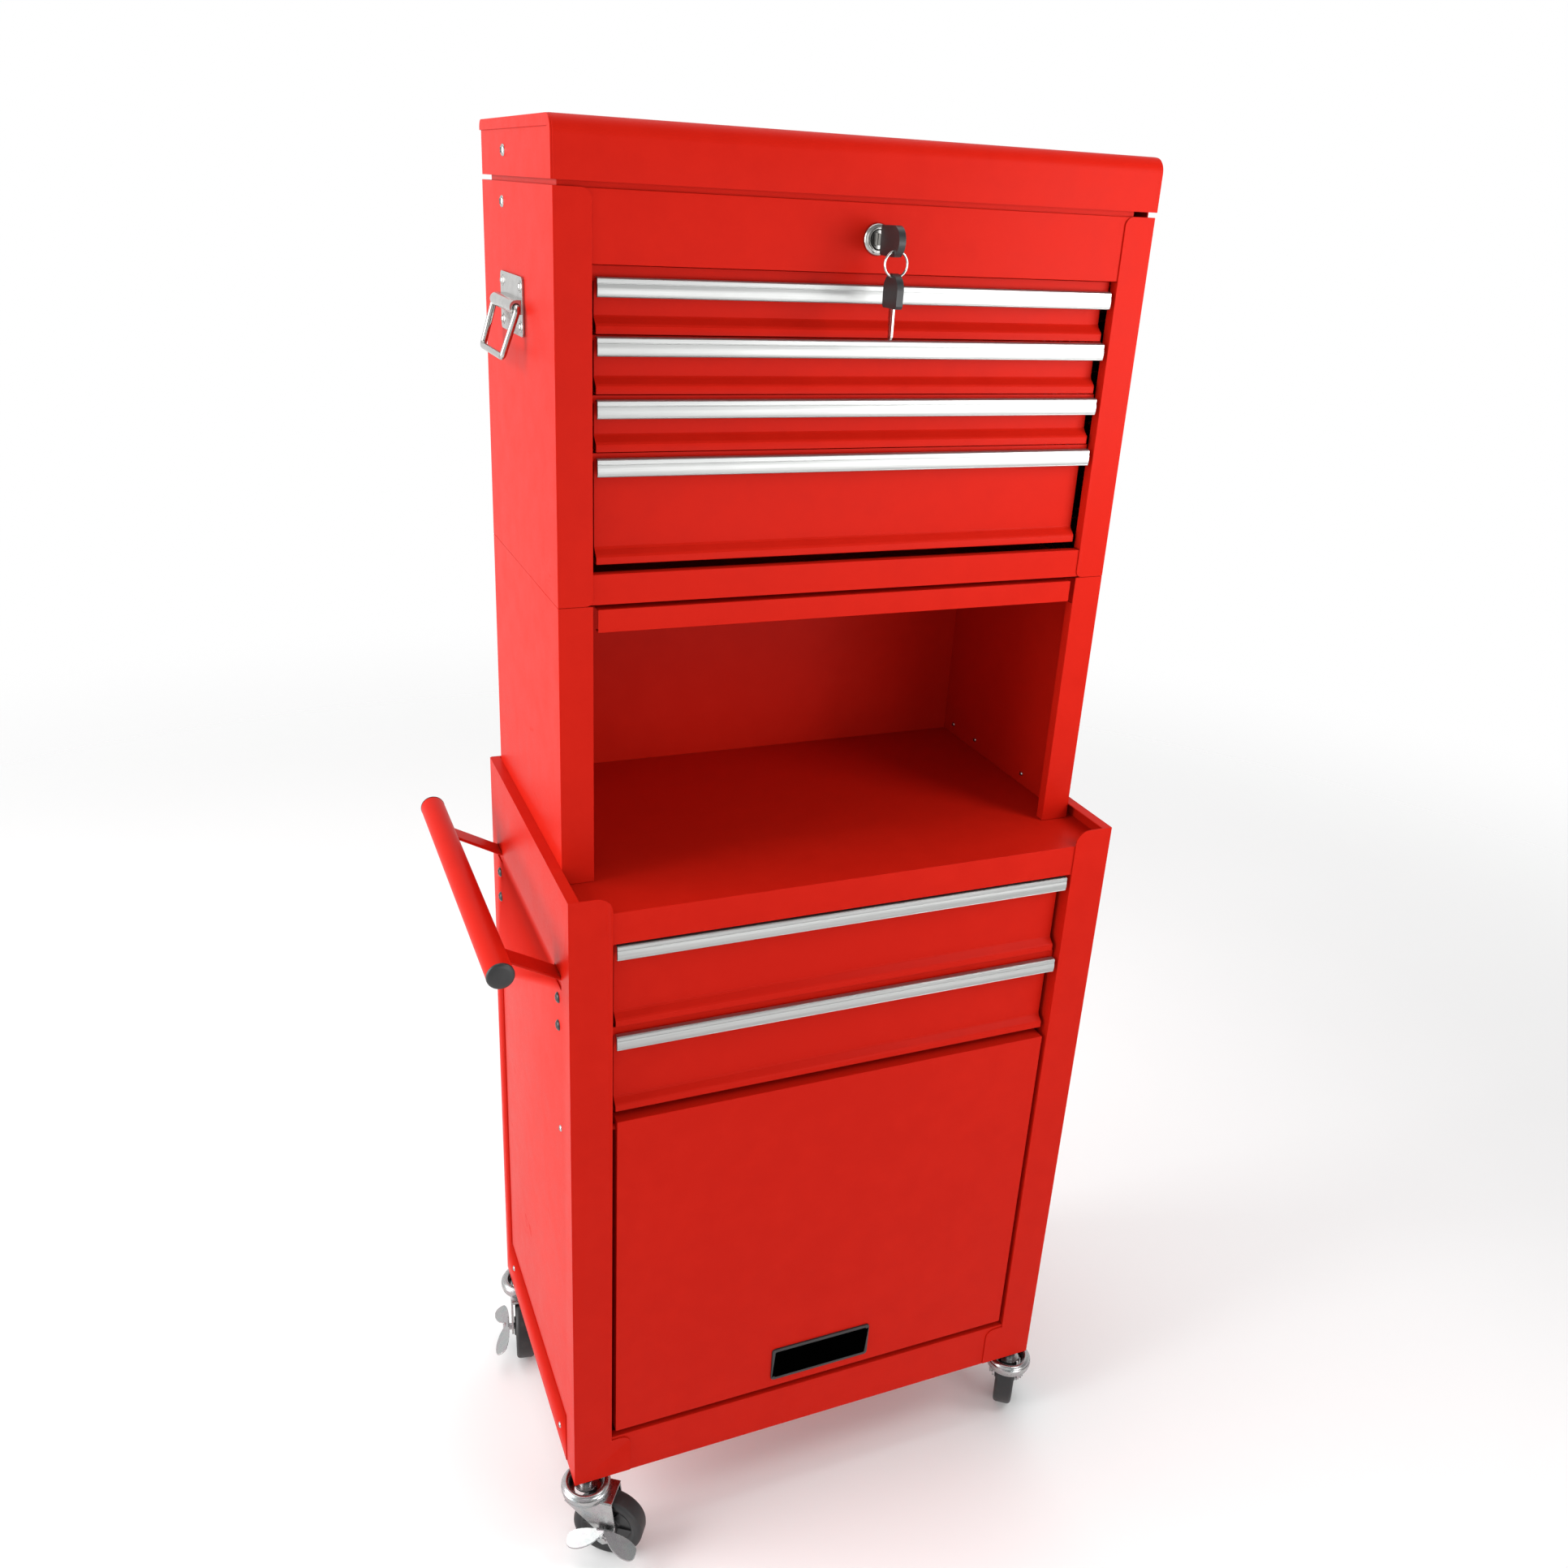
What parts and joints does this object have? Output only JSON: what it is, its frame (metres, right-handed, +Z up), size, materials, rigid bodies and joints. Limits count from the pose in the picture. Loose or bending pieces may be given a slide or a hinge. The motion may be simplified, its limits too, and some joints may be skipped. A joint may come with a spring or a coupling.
{
  "type": "rolling tool chest",
  "caption": "Tall two-piece tool storage unit on swivel casters: a lidded drawer chest on an open riser over a cabinet with drawers, a lift-up door and a side push handle.",
  "frame": {"origin": "on the floor under the middle of the whole object's box", "axes": "+Z up, the drawers and the door face -Y, the push handle is on the -X side"},
  "size_m": [0.6403, 0.3962, 1.374],
  "materials": {
    "red_paint": "vivid red powder coat, semi-gloss with a faint orange peel",
    "aluminium_pull": "satin anodised, fine lengthwise grooves",
    "zinc_hardware": "bright zinc plate",
    "chrome_hardware": "bright chrome plate",
    "black_plastic": "moulded black plastic, low sheen",
    "caster_wheel": "black tread on a dark hub"
  },
  "bodies": {
    "body": {"base_back_panel": "red_paint", "base_bottom_pan": "red_paint", "base_mid_rail": "red_paint", "base_side_left": "red_paint", "base_side_right": "red_paint", "base_slide_rack_left": "zinc_hardware", "base_slide_rack_right": "zinc_hardware", "base_top_tray": "red_paint", "caster_front_left_stem": "zinc_hardware", "caster_front_right_stem": "zinc_hardware", "caster_rear_left_stem": "zinc_hardware", "caster_rear_right_stem": "zinc_hardware", "chest_bottom_pan": "red_paint", "chest_handle_plate_left": "chrome_hardware", "chest_handle_plate_right": "chrome_hardware", "chest_lock_rail": "red_paint", "chest_shell": "red_paint", "chest_slide_rack_left": "zinc_hardware", "chest_slide_rack_right": "zinc_hardware", "chest_till": "red_paint", "lid_hinge_pin": "zinc_hardware", "lock_housing": "chrome_hardware", "push_bracket_front": "zinc_hardware", "push_bracket_rear": "zinc_hardware", "push_cap_front": "black_plastic", "push_cap_rear": "black_plastic", "push_handle_tube": "red_paint", "riser_shell": "red_paint", "riser_top_panel": "red_paint"},
    "lid": {"lid_shell": "red_paint"},
    "chest_drawer_1": {"chest_drawer_1": "red_paint", "chest_pull_1": "aluminium_pull"},
    "chest_drawer_2": {"chest_drawer_2": "red_paint", "chest_pull_2": "aluminium_pull"},
    "chest_drawer_3": {"chest_drawer_3": "red_paint", "chest_pull_3": "aluminium_pull"},
    "chest_drawer_4": {"chest_drawer_4": "red_paint", "chest_pull_4": "aluminium_pull"},
    "base_drawer_1": {"base_drawer_1": "red_paint", "base_pull_1": "aluminium_pull"},
    "base_drawer_2": {"base_drawer_2": "red_paint", "base_pull_2": "aluminium_pull"},
    "door": {"door_panel": "red_paint", "door_pull": "black_plastic"},
    "bail_left": {"bail_left": "chrome_hardware"},
    "bail_right": {"bail_right": "chrome_hardware"},
    "lock_core": {"lock_cylinder": "chrome_hardware", "lock_key": "black_plastic"},
    "key_ring": {"key_ring": "chrome_hardware"},
    "spare_key": {"spare_key": "black_plastic"},
    "front_left_caster": {"caster_front_left_fork": "zinc_hardware"},
    "front_left_wheel": {"caster_front_left_wheel": "caster_wheel"},
    "front_left_pedal": {"caster_front_left_pedal": "zinc_hardware"},
    "front_right_caster": {"caster_front_right_fork": "zinc_hardware"},
    "front_right_wheel": {"caster_front_right_wheel": "caster_wheel"},
    "rear_left_caster": {"caster_rear_left_fork": "zinc_hardware"},
    "rear_left_wheel": {"caster_rear_left_wheel": "caster_wheel"},
    "rear_left_pedal": {"caster_rear_left_pedal": "zinc_hardware"},
    "rear_right_caster": {"caster_rear_right_fork": "zinc_hardware"},
    "rear_right_wheel": {"caster_rear_right_wheel": "caster_wheel"}
  },
  "joints": [
    {"name": "lid_swing", "type": "hinge", "parent": "body", "child": "lid", "pos_m": [0.0205, 0.1752, 1.329], "axis": [-1, 0, 0], "range_deg": [0, 95]},
    {"name": "chest_drawer_1_slide", "type": "slide", "parent": "body", "child": "chest_drawer_1", "axis": [0, -1, 0], "range_m": [0, 0.18], "deforming": ["key_ring", "spare_key"]},
    {"name": "chest_drawer_2_slide", "type": "slide", "parent": "body", "child": "chest_drawer_2", "axis": [0, -1, 0], "range_m": [0, 0.18]},
    {"name": "chest_drawer_3_slide", "type": "slide", "parent": "body", "child": "chest_drawer_3", "axis": [0, -1, 0], "range_m": [0, 0.18]},
    {"name": "chest_drawer_4_slide", "type": "slide", "parent": "body", "child": "chest_drawer_4", "axis": [0, -1, 0], "range_m": [0, 0.18]},
    {"name": "base_drawer_1_slide", "type": "slide", "parent": "body", "child": "base_drawer_1", "axis": [0, -1, 0], "range_m": [0, 0.23]},
    {"name": "base_drawer_2_slide", "type": "slide", "parent": "body", "child": "base_drawer_2", "axis": [0, -1, 0], "range_m": [0, 0.23]},
    {"name": "door_swing", "type": "hinge", "parent": "body", "child": "door", "pos_m": [0.0205, -0.1408, 0.536], "axis": [-1, 0, 0], "range_deg": [0, 90]},
    {"name": "bail_left_swing", "type": "hinge", "parent": "body", "child": "bail_left", "pos_m": [-0.2457, 0.0532, 1.235], "axis": [0, 1, 0], "range_deg": [0, 70]},
    {"name": "bail_right_swing", "type": "hinge", "parent": "body", "child": "bail_right", "pos_m": [0.2867, 0.0532, 1.235], "axis": [0, -1, 0], "range_deg": [0, 70]},
    {"name": "lock_turn", "type": "hinge", "parent": "body", "child": "lock_core", "pos_m": [0.0205, -0.0912, 1.3004], "axis": [0, 1, 0], "range_deg": [0, 90]},
    {"name": "key_ring_swing", "type": "hinge", "parent": "lock_core", "child": "key_ring", "pos_m": [0.0205, -0.1238, 1.294], "axis": [0, 1, 0], "range_deg": [-90, 0]},
    {"name": "spare_key_swing", "type": "hinge", "parent": "key_ring", "child": "spare_key", "pos_m": [0.0205, -0.1238, 1.2745], "axis": [-1, 0, 0], "range_deg": [0, 60]},
    {"name": "front_left_swivel", "type": "hinge", "parent": "body", "child": "front_left_caster", "pos_m": [-0.2345, -0.1388, 0.087], "axis": [0, 0, 1], "continuous": true},
    {"name": "front_left_roll", "type": "hinge", "parent": "front_left_caster", "child": "front_left_wheel", "pos_m": [-0.21295, -0.15334, 0.0375], "axis": [0.5592, 0.829, 0], "continuous": true},
    {"name": "front_left_brake", "type": "hinge", "parent": "front_left_caster", "child": "front_left_pedal", "pos_m": [-0.21295, -0.15334, 0.0375], "axis": [0.5592, 0.829, 0], "range_deg": [-15, 15]},
    {"name": "front_right_swivel", "type": "hinge", "parent": "body", "child": "front_right_caster", "pos_m": [0.2755, -0.1388, 0.087], "axis": [0, 0, 1], "continuous": true},
    {"name": "front_right_roll", "type": "hinge", "parent": "front_right_caster", "child": "front_right_wheel", "pos_m": [0.29078, -0.11777, 0.0375], "axis": [-0.809, 0.5878, 0], "continuous": true},
    {"name": "rear_left_swivel", "type": "hinge", "parent": "body", "child": "rear_left_caster", "pos_m": [-0.2345, 0.1672, 0.087], "axis": [0, 0, 1], "continuous": true},
    {"name": "rear_left_roll", "type": "hinge", "parent": "rear_left_caster", "child": "rear_left_wheel", "pos_m": [-0.23901, 0.14159, 0.0375], "axis": [0.9848, -0.1736, 0], "continuous": true},
    {"name": "rear_left_brake", "type": "hinge", "parent": "rear_left_caster", "child": "rear_left_pedal", "pos_m": [-0.23901, 0.14159, 0.0375], "axis": [0.9848, -0.1736, 0], "range_deg": [-15, 15]},
    {"name": "rear_right_swivel", "type": "hinge", "parent": "body", "child": "rear_right_caster", "pos_m": [0.2755, 0.1672, 0.087], "axis": [0, 0, 1], "continuous": true},
    {"name": "rear_right_roll", "type": "hinge", "parent": "rear_right_caster", "child": "rear_right_wheel", "pos_m": [0.25107, 0.17609, 0.0375], "axis": [-0.342, -0.9397, 0], "continuous": true}
  ],
  "couplings": [
    {"joint": "key_ring_swing", "follows": "lock_turn", "ratio": -1}
  ]
}
